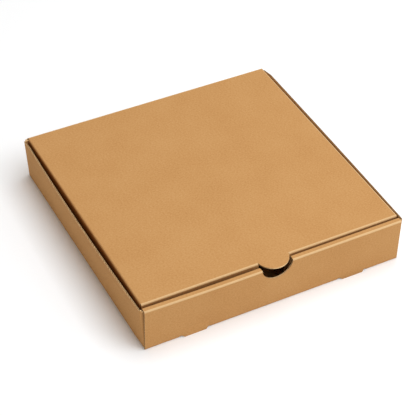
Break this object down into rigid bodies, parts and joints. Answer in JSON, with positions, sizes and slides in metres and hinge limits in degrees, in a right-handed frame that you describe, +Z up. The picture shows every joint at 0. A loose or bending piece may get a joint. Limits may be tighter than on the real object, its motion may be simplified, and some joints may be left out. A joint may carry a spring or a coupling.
{
  "type": "pizza box",
  "caption": "Flat square corrugated board box with a lid on a rear fold, a rolled front wall and a thumb notch under a rounded tongue, for carrying a pizza.",
  "frame": {"origin": "centre of the base's underside, on the surface that the box stands on", "axes": "+X to the right seen from the front, +Y towards the lid's rear fold, +Z up"},
  "size_m": [0.254, 0.2578, 0.0463],
  "materials": {
    "kraft_board": "matt uncoated kraft liner"
  },
  "bodies": {
    "tray": {"tray": "kraft_board"},
    "lid": {"lid": "kraft_board"}
  },
  "joints": [
    {"name": "lid_hinge", "type": "hinge", "parent": "tray", "child": "lid", "pos_m": [0, 0.12656, 0.04376], "axis": [-1, 0, 0], "range_deg": [0, 180]}
  ]
}
